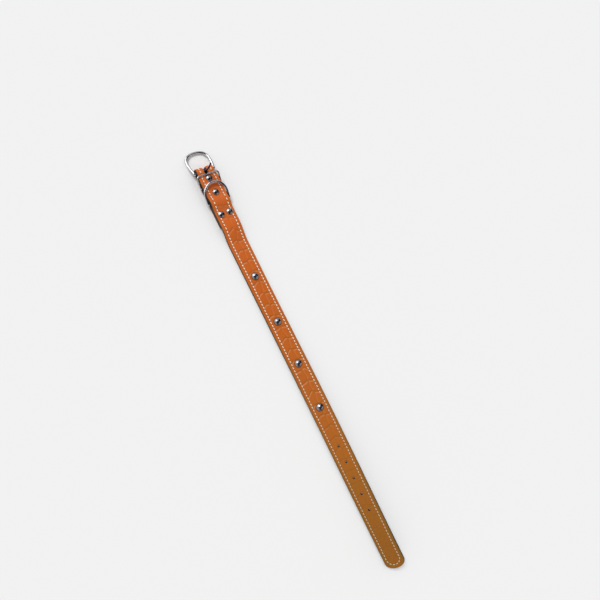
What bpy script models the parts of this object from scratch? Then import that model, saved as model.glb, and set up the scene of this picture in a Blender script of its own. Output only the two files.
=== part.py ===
# Dog collar, lying open on its back: +X runs from the buckle to the free end,
# +Y across the strap, +Z up out of the orange face. Metres, origin at the
# middle of the bounding box's base.

import math

import bmesh
import bpy
from mathutils import Matrix, Vector

# Strap
STRAP_LENGTH = 0.535
STRAP_WIDTH = 0.025
COVER_THICKNESS = 0.0017
LINING_THICKNESS = 0.0016
EDGE_ROUND = 0.0005
GAP = 0.0003
TIP_LENGTH = 0.0078
NECK_WIDTH = 0.0226
NECK_LENGTH = 0.0095
NECK_TAPER = 0.006
TURN_BACK_LENGTH = 0.075
STEP_LENGTH = 0.026
FREE_END_ROLL = math.radians(42)
ROLL_LENGTH = 0.385

# Wire fittings
FRAME_WIRE = 0.0034
FRAME_REACH = 0.027
FRAME_CORNER = 0.0022
FRAME_BOW_SHARE = 0.5
PASSING_CLEARANCE = 0.0008
NECK_CLEARANCE = 0.00045
PRONG_WIRE = 0.0025
PRONG_TIP_WIRE = 0.0018
PRONG_EYE_WALL = 0.0014
PRONG_EYE_WIDTH = 0.003
PRONG_LENGTH = 0.0285
PRONG_LEAN = math.radians(4)
PRONG_BOW = 0.0012
SLOT_CLEARANCE = 0.0005
SLOT_REACH = 0.0118
SLOT_END_WIDTH = 0.0016
KEEPER_WIRE = 0.002
KEEPER_HEIGHT = 0.015
KEEPER_CORNER = 0.003
KEEPER_SIDE_CLEARANCE = 0.0005
KEEPER_BAR_FROM_FOLD = 0.0245
RING_WIRE = 0.003
RING_LEG = 0.0095
RING_CORNER = 0.002
RING_SIDE_CLEARANCE = 0.0005
RING_BAR_FROM_FOLD = 0.0455

# Rivets and studs
RIVET_CAP = 0.008
RIVET_DOME = 0.0021
RIVET_SHANK = 0.003
RIVET_FOOT = 0.007
RIVET_FOOT_THICKNESS = 0.0008
RIVET_A_FROM_FOLD = 0.0163
RIVET_B_FROM_FOLD = 0.0343
RIVET_PAIR_FROM_FOLD = 0.0615
RIVET_PAIR_ACROSS = 0.0116

STUD_CAP = 0.0096
STUD_DOME = 0.0034
STUD_FOOT = 0.0055
STUD_FOOT_THICKNESS = 0.0005
CAP_RIM = 0.0004

# How far the turned-back layers stand apart where a rivet pulls them in
SPREAD_AT_A = 0.0028
SPREAD_AT_B = 0.0022

# Prong holes, counted from the free end
HOLE_DIAMETER = 0.003
HOLE_COUNT = 5
HOLE_PITCH = 0.0211
LAST_HOLE_TO_TIP = 0.0773
# Each stud's place, as a share of the way from the rivet pair to the first hole
STUD_SHARES = (0.268, 0.465, 0.646, 0.834)

# What follows from them
PLY = LINING_THICKNESS + GAP + COVER_THICKNESS
HALF_WIDTH = STRAP_WIDTH / 2
BACK_LIFT = RIVET_FOOT_THICKNESS + GAP
BACK_TOP = BACK_LIFT + PLY
FOLD_INNER = FRAME_WIRE / 2 + GAP
FOLD_OUTER = FOLD_INNER + PLY
BAR_Z = BACK_TOP + FOLD_INNER
SPREAD_AT_KEEPER = KEEPER_WIRE + 2 * GAP
SPREAD_AT_RING = RING_WIRE + 2 * GAP
FIRST_HOLE_FROM_FOLD = STRAP_LENGTH - LAST_HOLE_TO_TIP - (HOLE_COUNT - 1) * HOLE_PITCH
ROLL_START = STRAP_LENGTH - ROLL_LENGTH
FAR_END = FOLD_OUTER - FRAME_REACH * math.cos(
    math.asin((BAR_Z - FRAME_WIRE / 2) / FRAME_REACH)
) - FRAME_WIRE / 2
# Distances along the strap start at the fold; the origin is half way along the whole
MIDDLE = (FAR_END + STRAP_LENGTH) / 2

SIDES = 16
FOLD_STEPS = 12
LAYER_STEP = 0.0024
PLAIN_STEP = 0.03
ROLL_STEP = 0.005
TIP_STEPS = 7

# Colour as shown, metallic, roughness
FINISHES = {
    "orange_leather": ((0.52, 0.13, 0.025), 0.0, 0.45),
    "black_lining": ((0.012, 0.011, 0.009), 0.0, 0.75),
    "bright_wire": ((0.72, 0.72, 0.73), 1.0, 0.16),
    "blued_prong": ((0.06, 0.07, 0.12), 1.0, 0.3),
    "dark_nickel": ((0.45, 0.45, 0.46), 1.0, 0.14),
}


def clear_scene():
    for obj in list(bpy.data.objects):
        bpy.data.objects.remove(obj)


def make_collections():
    parts = bpy.data.collections.new("dog_collar")
    cutters = bpy.data.collections.new("cutters")
    cutters.hide_render = True
    for group in (parts, cutters):
        bpy.context.scene.collection.children.link(group)
    return parts, cutters


def make_material(name):
    colour, metallic, roughness = FINISHES[name]
    material = bpy.data.materials.new(name)
    material.use_nodes = True
    shader = material.node_tree.nodes["Principled BSDF"]
    shader.inputs["Base Color"].default_value = (*colour, 1)
    shader.inputs["Metallic"].default_value = metallic
    shader.inputs["Roughness"].default_value = roughness
    material.diffuse_color = (*colour, 1)
    return material


def ease(share):
    return (1 - math.cos(math.pi * min(max(share, 0), 1))) / 2


def spread_stations():
    """Distance from the fold and gap between the turned-back layers, in order."""
    cap = RIVET_CAP / 2
    return (
        (FOLD_OUTER, 2 * FOLD_INNER),
        (RIVET_A_FROM_FOLD - cap, SPREAD_AT_A),
        (RIVET_A_FROM_FOLD + cap, SPREAD_AT_A),
        (KEEPER_BAR_FROM_FOLD, SPREAD_AT_KEEPER),
        (RIVET_B_FROM_FOLD - cap, SPREAD_AT_B),
        (RIVET_B_FROM_FOLD + cap, SPREAD_AT_B),
        (RING_BAR_FROM_FOLD, SPREAD_AT_RING),
        (RIVET_PAIR_FROM_FOLD - cap, GAP),
        (TURN_BACK_LENGTH + GAP, GAP),
        (TURN_BACK_LENGTH + GAP + STEP_LENGTH, -BACK_TOP),
    )


def front_height(along):
    """Height of the front layer's inner face at a distance from the fold."""
    stations = spread_stations()
    if along >= stations[-1][0]:
        return 0.0
    for (start, low), (end, high) in zip(stations, stations[1:]):
        if along <= end:
            return BACK_TOP + low + (high - low) * ease((along - start) / (end - start))
    return 0.0


def front_top(along):
    return front_height(along) + PLY


def half_width(along):
    """Half the strap's width: a neck at the fold, the full width, a rounded tip."""
    neck = NECK_WIDTH / 2
    width = neck + (HALF_WIDTH - neck) * ease((along - NECK_LENGTH) / NECK_TAPER)
    past = along - (STRAP_LENGTH - TIP_LENGTH)
    if past > 0:
        width *= math.sqrt(max(1 - (past / TIP_LENGTH) ** 2, 0))
    return width


def roll_at(along):
    return FREE_END_ROLL * ease((along - ROLL_START) / ROLL_LENGTH)


def rolled(along, y, z):
    """A point of the strap after the free end's roll about its lower left edge."""
    turn = roll_at(along)
    side = y + HALF_WIDTH
    return Vector((
        along - MIDDLE,
        -HALF_WIDTH + side * math.cos(turn) - z * math.sin(turn),
        side * math.sin(turn) + z * math.cos(turn),
    ))


def inner_path():
    """Points (along, height, heading) of the strap's inner face, back end to tip."""
    points = [(TURN_BACK_LENGTH, BACK_TOP, math.pi)]
    neck_edges = (NECK_LENGTH + NECK_TAPER, NECK_LENGTH + NECK_TAPER / 2, NECK_LENGTH)
    points += [(along, BACK_TOP, math.pi) for along in neck_edges]
    for step in range(FOLD_STEPS + 1):
        turn = math.pi * step / FOLD_STEPS
        points.append((
            FOLD_OUTER - FOLD_INNER * math.sin(turn),
            BAR_Z - FOLD_INNER * math.cos(turn),
            math.pi - turn,
        ))
    along = FOLD_OUTER + LAYER_STEP
    layered_end = spread_stations()[-1][0]
    tip_start = STRAP_LENGTH - TIP_LENGTH
    while along < tip_start - ROLL_STEP / 2:
        nudge = LAYER_STEP / 4
        rise = front_height(along + nudge) - front_height(along - nudge)
        points.append((along, front_height(along), math.atan2(rise, 2 * nudge)))
        if along < layered_end:
            along += LAYER_STEP
        elif along < ROLL_START - PLAIN_STEP / 2:
            along += PLAIN_STEP
        else:
            along += ROLL_STEP
    for step in range(TIP_STEPS):
        turn = math.pi / 2 * step / TIP_STEPS
        points.append((tip_start + TIP_LENGTH * math.sin(turn), 0.0, 0.0))
    nearly = math.radians(88)
    points.append((tip_start + TIP_LENGTH * math.sin(nearly), 0.0, 0.0))
    return points


def layer_section(along, low, high, round_low, round_high):
    """Corners (across, out) of one layer, with the round cut in three corners."""
    width = half_width(along)
    corner = 0.3
    section = []
    for side in (-1, 1):
        low_round = min(round_low, width / 2)
        high_round = min(round_high, width / 2)
        column = [
            (width - low_round, low),
            (width - corner * low_round, low + corner * low_round),
            (width, low + low_round),
            (width, high - high_round),
            (width - corner * high_round, high - corner * high_round),
            (width - high_round, high),
        ]
        if round_low == 0:
            column = column[2:]
        if round_high == 0:
            column = column[:-2]
        column = [(side * across, out) for across, out in column]
        section += column if side == 1 else column[::-1]
    return section


def loft(name, rings):
    """A closed body through rings of points, with a flat face at each end."""
    mesh = bpy.data.meshes.new(name)
    build = bmesh.new()
    rows = [[build.verts.new(point) for point in ring] for ring in rings]
    for row, following in zip(rows, rows[1:]):
        for index in range(len(row)):
            after = (index + 1) % len(row)
            build.faces.new((row[index], row[after], following[after], following[index]))
    build.faces.new(rows[0][::-1])
    build.faces.new(rows[-1])
    bmesh.ops.recalc_face_normals(build, faces=build.faces)
    build.to_mesh(mesh)
    build.free()
    return bpy.data.objects.new(name, mesh)


def finish_part(obj, group, material, smooth_angle=40):
    obj.data.materials.append(bpy.data.materials[material])
    group.objects.link(obj)
    if obj.type == "MESH":
        obj.data.shade_smooth()
        obj.data.set_sharp_from_angle(angle=math.radians(smooth_angle))
    return obj


def make_layer(name, low, high, round_low, round_high):
    rings = []
    for along, height, heading in inner_path():
        ring = []
        for across, out in layer_section(along, low, high, round_low, round_high):
            place = along - out * math.sin(heading)
            lift = height + out * math.cos(heading)
            turned = rolled(along, across, lift)
            ring.append((place - MIDDLE, turned.y, turned.z))
        rings.append(ring)
    return loft(name, rings)


def strap_frame(along, across=0.0):
    """Placement on the strap: +Z out of its face, the origin on its inner face."""
    height = front_height(along)
    turn = Matrix.Rotation(roll_at(along), 4, "X")
    return Matrix.Translation(rolled(along, across, height)) @ turn


def turned_body(name, profile):
    """A body of revolution about Z, from (radius, height) pairs, top to bottom."""
    mesh = bpy.data.meshes.new(name)
    edges = [(index, index + 1) for index in range(len(profile) - 1)]
    mesh.from_pydata([(radius, 0, height) for radius, height in profile], edges, [])
    obj = bpy.data.objects.new(name, mesh)
    screw = obj.modifiers.new("Turn", "SCREW")
    screw.steps = SIDES
    screw.render_steps = SIDES
    screw.use_merge_vertices = True
    screw.merge_threshold = 0.00005
    screw.use_normal_calculate = False
    screw.use_smooth_shade = True
    return obj


def hide_cutter(obj, group):
    obj.hide_render = True
    obj.display_type = "WIRE"
    group.objects.link(obj)
    return obj


def make_cutter(name, diameter, low, high, frame, group):
    radius = diameter / 2
    cutter = turned_body(name, [(0, high), (radius, high), (radius, low), (0, low)])
    cutter.matrix_world = frame
    return hide_cutter(cutter, group)


def cut(target, cutter):
    boolean = target.modifiers.new(cutter.name, "BOOLEAN")
    boolean.operation = "DIFFERENCE"
    boolean.object = cutter
    boolean.solver = "EXACT"


def make_slot_cutter(group):
    """The prong's slot: open round the fold, closing to a crease on both faces."""
    wide = PRONG_EYE_WIDTH / 2 + SLOT_CLEARANCE
    narrow = SLOT_END_WIDTH / 2
    start = -GAP
    taper_start = FOLD_OUTER + FOLD_INNER + PRONG_EYE_WALL
    outline = [
        (start, -wide),
        (taper_start, -wide),
        (SLOT_REACH, -narrow),
        (SLOT_REACH, narrow),
        (taper_start, wide),
        (start, wide),
    ]
    top = front_top(FOLD_OUTER) + GAP
    rings = [[(x - MIDDLE, y, z) for x, y in outline] for z in (BACK_LIFT - GAP, top)]
    return hide_cutter(loft("slot_cutter", rings), group)


def dome(diameter, height):
    """Profile of a domed cap, from its crown to its rim."""
    radius = diameter / 2
    rise = height - CAP_RIM
    ball = (radius ** 2 + rise ** 2) / (2 * rise)
    reach = math.asin(radius / ball) if rise <= radius else math.pi - math.asin(radius / ball)
    points = []
    steps = 4
    for step in range(steps + 1):
        turn = reach * step / steps
        points.append((ball * math.sin(turn), height - ball * (1 - math.cos(turn))))
    return points


def rivet_profile(cap_under, foot_top):
    """Domed cap, shank and flat foot. Heights are from the strap's inner face."""
    shank = RIVET_SHANK / 2
    foot = RIVET_FOOT / 2
    bevel = RIVET_FOOT_THICKNESS / 4
    bottom = foot_top - RIVET_FOOT_THICKNESS
    return [(r, cap_under + z) for r, z in dome(RIVET_CAP, RIVET_DOME)] + [
        (RIVET_CAP / 2, cap_under),
        (shank, cap_under),
        (shank, foot_top),
        (foot - bevel, foot_top),
        (foot, foot_top - bevel),
        (foot, bottom + bevel),
        (foot - bevel, bottom),
        (0, bottom),
    ]


def stud_profile():
    """Domed cap, shank through the cover and a clinched foot in the lining."""
    shank = RIVET_SHANK / 2
    foot_top = LINING_THICKNESS
    return [(r, PLY + GAP + z) for r, z in dome(STUD_CAP, STUD_DOME)] + [
        (STUD_CAP / 2, PLY + GAP),
        (shank, PLY + GAP),
        (shank, foot_top),
        (STUD_FOOT / 2, foot_top),
        (STUD_FOOT / 2, foot_top - STUD_FOOT_THICKNESS),
        (0, foot_top - STUD_FOOT_THICKNESS),
    ]


def wire_loop(name, points, wire):
    """A closed ring of round wire through points in the loop's own plane."""
    curve = bpy.data.curves.new(name, "CURVE")
    curve.dimensions = "3D"
    curve.bevel_depth = wire / 2
    curve.bevel_resolution = 2
    spline = curve.splines.new("POLY")
    spline.points.add(len(points) - 1)
    for point, (x, y) in zip(spline.points, points):
        point.co = (x, y, 0, 1)
    spline.use_cyclic_u = True
    spline.use_smooth = True
    return bpy.data.objects.new(name, curve)


def arc(centre_x, centre_y, radius, start, end, steps):
    """Points of an arc, its angles in degrees."""
    angles = [math.radians(start + (end - start) * i / steps) for i in range(steps + 1)]
    return [(centre_x + radius * math.cos(a), centre_y + radius * math.sin(a)) for a in angles]


def mirrored(half):
    """A closed outline from its +Y half, which runs from one end to the other."""
    return half + [(x, -y) for x, y in half[::-1]]


def frame_outline():
    """The buckle frame seen flat: bar at x = 0, bowed arms, rounded far end."""
    root = NECK_WIDTH / 2 + NECK_CLEARANCE + FRAME_WIRE / 2
    widest = HALF_WIDTH + PASSING_CLEARANCE + FRAME_WIRE / 2
    bow = FRAME_REACH * FRAME_BOW_SHARE
    half = [(0, root / 2)]
    half += arc(-FRAME_CORNER, root - FRAME_CORNER, FRAME_CORNER, 0, 90, 5)
    steps = 6
    for step in range(1, steps + 1):
        share = step / steps
        run = FRAME_CORNER + (bow - FRAME_CORNER) * share
        half.append((-run, root + (widest - root) * math.sin(math.pi / 2 * share)))
    steps = 12
    power = 2 / 2.5
    for step in range(1, steps):
        turn = math.pi / 2 * step / steps
        reach = (FRAME_REACH - bow) * math.sin(turn) ** power
        half.append((-bow - reach, widest * math.cos(turn) ** power))
    return mirrored(half)


def keeper_outline():
    """The keeper seen flat: bar at x = 0, the far bar at minus its height."""
    side = HALF_WIDTH + KEEPER_SIDE_CLEARANCE + KEEPER_WIRE / 2
    corner = KEEPER_CORNER
    root_corner = KEEPER_WIRE
    half = [(0, side / 2)]
    half += arc(-root_corner, side - root_corner, root_corner, 0, 90, 4)
    half += arc(corner - KEEPER_HEIGHT, side - corner, corner, 90, 180, 6)
    half.append((-KEEPER_HEIGHT, side / 2))
    return mirrored(half)


def ring_half_width():
    return HALF_WIDTH + RING_SIDE_CLEARANCE + RING_WIRE / 2


def ring_outline():
    """The D-ring seen flat: bar at x = 0, two legs and a half circle."""
    side = ring_half_width()
    half = [(0, side / 2)]
    half += arc(-RING_CORNER, side - RING_CORNER, RING_CORNER, 0, 90, 4)
    half += arc(-RING_LEG, 0, side, 90, 176, 14)
    return mirrored(half)


def surface_top(along, across):
    """Highest point of the strap or a rivet's dome there, or None beside it."""
    if abs(across) > half_width(along):
        return None
    top = front_top(along)
    rivets = [
        (RIVET_A_FROM_FOLD, 0),
        (RIVET_B_FROM_FOLD, 0),
        (RIVET_PAIR_FROM_FOLD, RIVET_PAIR_ACROSS / 2),
        (RIVET_PAIR_FROM_FOLD, -RIVET_PAIR_ACROSS / 2),
    ]
    for x, y in rivets:
        off = math.hypot(along - x, across - y) / (RIVET_CAP / 2)
        if off < 1:
            top = max(top, front_top(x) + GAP + CAP_RIM + RIVET_DOME * math.sqrt(1 - off ** 2))
    return top


def clears(outline, wire, bar, height, lean, side):
    """Whether a loop leaning off its bar keeps a gap to what lies under it."""
    reach = wire / 2 + GAP
    offsets = [reach * k / 3 for k in range(-3, 4)]
    for x, y in outline:
        run = -x
        if run < 2 * wire:
            continue
        along = bar + side * run * math.cos(lean)
        level = height + run * math.sin(lean)
        for dx in offsets:
            for dy in offsets:
                off = reach ** 2 - dx ** 2 - dy ** 2
                top = surface_top(along + dx, y + dy)
                if off >= 0 and top is not None and level - top < math.sqrt(off):
                    return False
    return True


def resting_lean(outline, wire, bar, height, side=-1):
    """The lowest lean, to half a degree, at which the loop clears the strap."""
    lean = 0.0
    while lean < 80 and not clears(outline, wire, bar, height, math.radians(lean), side):
        lean += 0.5
    return math.radians(lean)


def hang_on_bar(obj, name, along, height, lean, group):
    """Places a loop by an empty on its joint's axis, tipped up by its lean."""
    pivot = bpy.data.objects.new(name, None)
    pivot.location = (along - MIDDLE, 0, height)
    pivot.rotation_euler = (0, lean, 0)
    group.objects.link(pivot)
    obj.parent = pivot


def make_strap(parts, cutters):
    cover = make_layer("strap_cover", LINING_THICKNESS + GAP, PLY, 0, EDGE_ROUND)
    lining = make_layer("strap_lining", 0, LINING_THICKNESS, EDGE_ROUND, 0)
    finish_part(cover, parts, "orange_leather")
    finish_part(lining, parts, "black_lining")
    slot = make_slot_cutter(cutters)
    through = [slot]
    for index in range(HOLE_COUNT):
        frame = strap_frame(FIRST_HOLE_FROM_FOLD + index * HOLE_PITCH)
        name = f"hole_{index + 1}_cutter"
        through.append(make_cutter(name, HOLE_DIAMETER, -GAP, PLY + GAP, frame, cutters))
    bore = RIVET_SHANK + 2 * GAP
    for name, along, across in rivet_places():
        frame = strap_frame(along, across)
        low = BACK_LIFT - GAP - front_height(along)
        through.append(make_cutter(name + "_cutter", bore, low, PLY + GAP, frame, cutters))
    for cutter in through:
        cut(cover, cutter)
        cut(lining, cutter)
    for index, along in enumerate(stud_places(), 1):
        frame = strap_frame(along)
        name = f"stud_{index}"
        shank = make_cutter(name + "_cutter", bore, LINING_THICKNESS, PLY + GAP, frame, cutters)
        seat_low = LINING_THICKNESS - STUD_FOOT_THICKNESS - GAP
        seat_size = STUD_FOOT + 2 * GAP
        seat_high = LINING_THICKNESS + GAP / 2
        seat = make_cutter(name + "_seat_cutter", seat_size, seat_low, seat_high, frame, cutters)
        cut(cover, shank)
        cut(lining, seat)


def rivet_places():
    across = RIVET_PAIR_ACROSS / 2
    return (
        ("rivet_a", RIVET_A_FROM_FOLD, 0.0),
        ("rivet_b", RIVET_B_FROM_FOLD, 0.0),
        ("rivet_c", RIVET_PAIR_FROM_FOLD, -across),
        ("rivet_d", RIVET_PAIR_FROM_FOLD, across),
    )


def stud_places():
    run = FIRST_HOLE_FROM_FOLD - RIVET_PAIR_FROM_FOLD
    return [RIVET_PAIR_FROM_FOLD + share * run for share in STUD_SHARES]


def make_rivets(parts):
    for name, along, across in rivet_places():
        foot_top = BACK_LIFT - GAP - front_height(along)
        rivet = turned_body(name, rivet_profile(PLY + GAP, foot_top))
        rivet.matrix_world = strap_frame(along, across)
        finish_part(rivet, parts, "dark_nickel")


def make_studs(parts):
    for index, along in enumerate(stud_places(), 1):
        stud = turned_body(f"stud_{index}", stud_profile())
        stud.matrix_world = strap_frame(along)
        finish_part(stud, parts, "dark_nickel")


def make_buckle_frame(parts):
    lean = -math.asin((BAR_Z - FRAME_WIRE / 2) / FRAME_REACH)
    frame = wire_loop("buckle_frame", frame_outline(), FRAME_WIRE)
    finish_part(frame, parts, "bright_wire")
    hang_on_bar(frame, "buckle_bar_axis", FOLD_OUTER, BAR_Z, lean, parts)


def make_keeper(parts):
    height = BACK_TOP + SPREAD_AT_KEEPER / 2
    outline = keeper_outline()
    lean = resting_lean(outline, KEEPER_WIRE, KEEPER_BAR_FROM_FOLD, height)
    keeper = wire_loop("keeper_loop", outline, KEEPER_WIRE)
    finish_part(keeper, parts, "bright_wire")
    hang_on_bar(keeper, "keeper_axis", KEEPER_BAR_FROM_FOLD, height, lean, parts)


def make_ring(parts):
    height = BACK_TOP + SPREAD_AT_RING / 2
    outline = ring_outline()
    lean = resting_lean(outline, RING_WIRE, RING_BAR_FROM_FOLD, height)
    ring = wire_loop("d_ring", outline, RING_WIRE)
    finish_part(ring, parts, "bright_wire")
    hang_on_bar(ring, "ring_axis", RING_BAR_FROM_FOLD, height, lean, parts)


def make_prong(parts, cutters):
    """Tongue with an eye round the buckle's bar, standing up out of the slot."""
    eye_inner = FRAME_WIRE / 2 + GAP
    eye_outer = eye_inner + PRONG_EYE_WALL
    steps = 14
    start = eye_inner + PRONG_EYE_WALL / 2
    rings = []
    for step in range(steps + 1):
        share = step / steps
        run = start + (PRONG_LENGTH - start) * share
        radius = (PRONG_WIRE + (PRONG_TIP_WIRE - PRONG_WIRE) * share) / 2
        if step == steps:
            radius *= 0.55
        bow = PRONG_BOW * math.sin(math.pi * share)
        ring = [
            (bow + radius * math.cos(turn), radius * math.sin(turn), run)
            for turn in (2 * math.pi * k / 10 for k in range(10))
        ]
        rings.append(ring)
    prong = loft("buckle_prong", rings)
    eye = make_eye("prong_eye", eye_outer, PRONG_EYE_WIDTH, cutters)
    bore = make_eye("prong_bore", eye_inner, PRONG_EYE_WIDTH + 2 * GAP, cutters)
    join = prong.modifiers.new("Eye", "BOOLEAN")
    join.operation = "UNION"
    join.object = eye
    join.solver = "EXACT"
    cut(prong, bore)
    pivot = bpy.data.objects.new("prong_axis", None)
    pivot.location = (FOLD_OUTER - MIDDLE, 0, BAR_Z)
    pivot.rotation_euler = (0, PRONG_LEAN, 0)
    parts.objects.link(pivot)
    for obj in (prong, eye, bore):
        obj.parent = pivot
    finish_part(prong, parts, "blued_prong")


def make_eye(name, radius, width, group):
    """A round along Y, centred on the bar's axis."""
    half = width / 2
    obj = turned_body(name, [(0, half), (radius, half), (radius, -half), (0, -half)])
    obj.rotation_euler = (math.pi / 2, 0, 0)
    return hide_cutter(obj, group)


def main():
    clear_scene()
    parts, cutters = make_collections()
    for name in FINISHES:
        make_material(name)
    make_strap(parts, cutters)
    make_rivets(parts)
    make_studs(parts)
    make_buckle_frame(parts)
    make_prong(parts, cutters)
    make_keeper(parts)
    make_ring(parts)


main()
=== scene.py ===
import math
import random

import bmesh
import bpy
import numpy as np
from mathutils import Matrix, Vector


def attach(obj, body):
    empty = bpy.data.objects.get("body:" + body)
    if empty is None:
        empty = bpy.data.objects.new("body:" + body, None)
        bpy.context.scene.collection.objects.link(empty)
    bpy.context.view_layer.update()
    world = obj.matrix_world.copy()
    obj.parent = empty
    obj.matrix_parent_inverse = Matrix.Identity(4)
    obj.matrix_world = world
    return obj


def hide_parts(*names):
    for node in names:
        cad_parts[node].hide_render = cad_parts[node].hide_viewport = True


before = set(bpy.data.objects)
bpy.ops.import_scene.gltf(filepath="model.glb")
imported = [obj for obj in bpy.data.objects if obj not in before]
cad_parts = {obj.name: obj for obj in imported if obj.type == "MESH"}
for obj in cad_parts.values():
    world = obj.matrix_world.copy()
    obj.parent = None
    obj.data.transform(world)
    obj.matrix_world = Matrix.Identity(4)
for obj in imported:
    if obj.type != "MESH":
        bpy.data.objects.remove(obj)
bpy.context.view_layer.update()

print("packed collar loaded:", len(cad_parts), "nodes")


# one socket of a node tree, so that shader maths reads as plain expressions
class Value:
    def __init__(self, paint, socket):
        self.paint = paint
        self.socket = socket

    def maths(self, kind, first, second):
        return self.paint.node("ShaderNodeMath", {"operation": kind}, {0: first, 1: second})

    def __add__(self, other):
        return self.maths("ADD", self, other)

    def __radd__(self, other):
        return self.maths("ADD", other, self)

    def __sub__(self, other):
        return self.maths("SUBTRACT", self, other)

    def __rsub__(self, other):
        return self.maths("SUBTRACT", other, self)

    def __mul__(self, other):
        return self.maths("MULTIPLY", self, other)

    def __rmul__(self, other):
        return self.maths("MULTIPLY", other, self)


# one material being painted
class Paint:
    def __init__(self, name):
        self.material = bpy.data.materials.new(name)
        self.material.use_nodes = True
        self.tree = self.material.node_tree
        self.shader = self.tree.nodes["Principled BSDF"]

    # any node: its settings first, then what its sockets hold or are linked to
    def node(self, kind, settings=None, sockets=None, out=0):
        made = self.tree.nodes.new(kind)
        for key, setting in (settings or {}).items():
            if key == "stops":
                self.setStops(made.color_ramp, setting)
            else:
                setattr(made, key, setting)
        for key, held in (sockets or {}).items():
            self.feed(made.inputs[key], held)
        return Value(self, made.outputs[out])

    def setStops(self, ramp, stops):
        while len(ramp.elements) < len(stops):
            ramp.elements.new(0.5)
        for element, (place, colour) in zip(ramp.elements, stops):
            element.position = place
            element.color = (*colour, 1) if len(colour) == 3 else colour

    def feed(self, socket, held):
        if isinstance(held, Value):
            self.tree.links.new(held.socket, socket)
        elif isinstance(held, tuple) and len(held) == 3 and socket.type == "RGBA":
            socket.default_value = (*held, 1)
        else:
            socket.default_value = held

    def surface(self, **held):
        for key, value in held.items():
            self.feed(self.shader.inputs[key.replace("_", " ")], value)

    def place(self):
        return self.node("ShaderNodeTexCoord", out="Object")

    def stretched(self, scale):
        return self.node("ShaderNodeMapping", sockets={"Vector": self.place(), "Scale": scale})

    def noise(self, size, detail=4.0, rough=0.55, vector=None):
        vector = vector or self.place()
        sockets = {"Vector": vector, "Scale": 1 / size, "Detail": detail, "Roughness": rough}
        return self.node("ShaderNodeTexNoise", sockets=sockets)

    def cells(self, size, feature="F1", vector=None):
        vector = vector or self.place()
        return self.node("ShaderNodeTexVoronoi", {"feature": feature}, {"Vector": vector, "Scale": 1 / size})

    def carried(self, name):
        return self.node("ShaderNodeAttribute", {"attribute_name": name}, out="Fac")

    def ranged(self, value, low, high, toLow=0.0, toHigh=1.0):
        sockets = {"Value": value, "From Min": low, "From Max": high, "To Min": toLow, "To Max": toHigh}
        return self.node("ShaderNodeMapRange", {"interpolation_type": "SMOOTHSTEP"}, sockets)

    def blend(self, factor, first, second, mode="MIX"):
        settings = {"data_type": "RGBA", "blend_type": mode}
        return self.node("ShaderNodeMix", settings, {0: factor, 6: first, 7: second}, out=2)

    def bump(self, height, distance, strength=1.0, under=None):
        sockets = {"Height": height, "Distance": distance, "Strength": strength}
        if under:
            sockets["Normal"] = under
        return self.node("ShaderNodeBump", sockets=sockets)


# a screen colour, 0 to 255, as the linear one that sockets take
def linear(*screen):
    parts = (c / 255 for c in screen)
    return tuple(c / 12.92 if c <= 0.04 else ((c + 0.055) / 1.055) ** 2.4 for c in parts)


# The strap's run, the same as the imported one. Metres, distances start at the fold.
strap = {
    "length": 0.535, "width": 0.025, "cover": 0.0017, "lining": 0.0016, "gap": 0.0003,
    "tip": 0.0078, "neckWidth": 0.0226, "neckLength": 0.0095, "neckTaper": 0.006,
    "turnBack": 0.075, "step": 0.026, "roll": math.radians(42), "rollLength": 0.385,
    "middle": 0.2561835, "foot": 0.0008, "foldInner": 0.002,
    "spreadA": 0.0028, "spreadKeeper": 0.0026, "spreadB": 0.0022, "spreadRing": 0.0036,
}
# foot: radius and depth of its outline, from where it meets the shank
rivets = {
    "cap": 0.008, "dome": 0.0021, "shank": 0.003,
    "foot": ((0.0015, 0), (0.0032, 0), (0.0035, 0.0002), (0.0035, 0.0006), (0.0033, 0.0008),
             (0.00105, 0.0008), (0.00075, 0.0005), (0, 0.0005)),
    "places": {"a": (0.0163, 0.0), "b": (0.0343, 0.0), "c": (0.0615, -0.0058), "d": (0.0615, 0.0058)},
}
studs = {
    "cap": 0.0096, "dome": 0.0034, "shank": 0.003,
    "foot": ((0.0015, 0), (0.00275, 0), (0.00275, 0.0005), (0, 0.0005)),
    "places": (0.1450624, 0.206487, 0.2629228, 0.3215412),
}
loops = {
    "frame": {"wire": 0.0034, "reach": 0.027, "corner": 0.0022, "bar": (0.0056, 0.0067), "lean": -10.671929},
    "keeper": {"wire": 0.002, "reach": 0.015, "corner": 0.003, "bar": (0.0245, 0.006), "lean": 26.0},
    "ring": {"wire": 0.003, "leg": 0.0095, "corner": 0.002, "bar": (0.0455, 0.0065), "lean": 20.5},
}
holes = {"first": 0.3733, "pitch": 0.0211, "count": 5, "size": 0.003}

halfWidth = strap["width"] / 2
ply = strap["cover"] + strap["lining"] + strap["gap"]
backLift = strap["foot"] + strap["gap"]
backTop = backLift + ply
foldOuter = strap["foldInner"] + ply
barHeight = backTop + strap["foldInner"]
foldStart = foldOuter - math.pi * foldOuter  # face distance where the turned-back layer begins
backEnd = foldStart - (strap["turnBack"] - foldOuter)
holePlaces = [holes["first"] + i * holes["pitch"] for i in range(holes["count"])]


def ease(t):
    return (1 - math.cos(math.pi * min(max(t, 0), 1))) / 2


def softStep(values, low, high):
    t = np.clip((values - low) / (high - low), 0, 1)
    return t * t * (3 - 2 * t)


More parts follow.
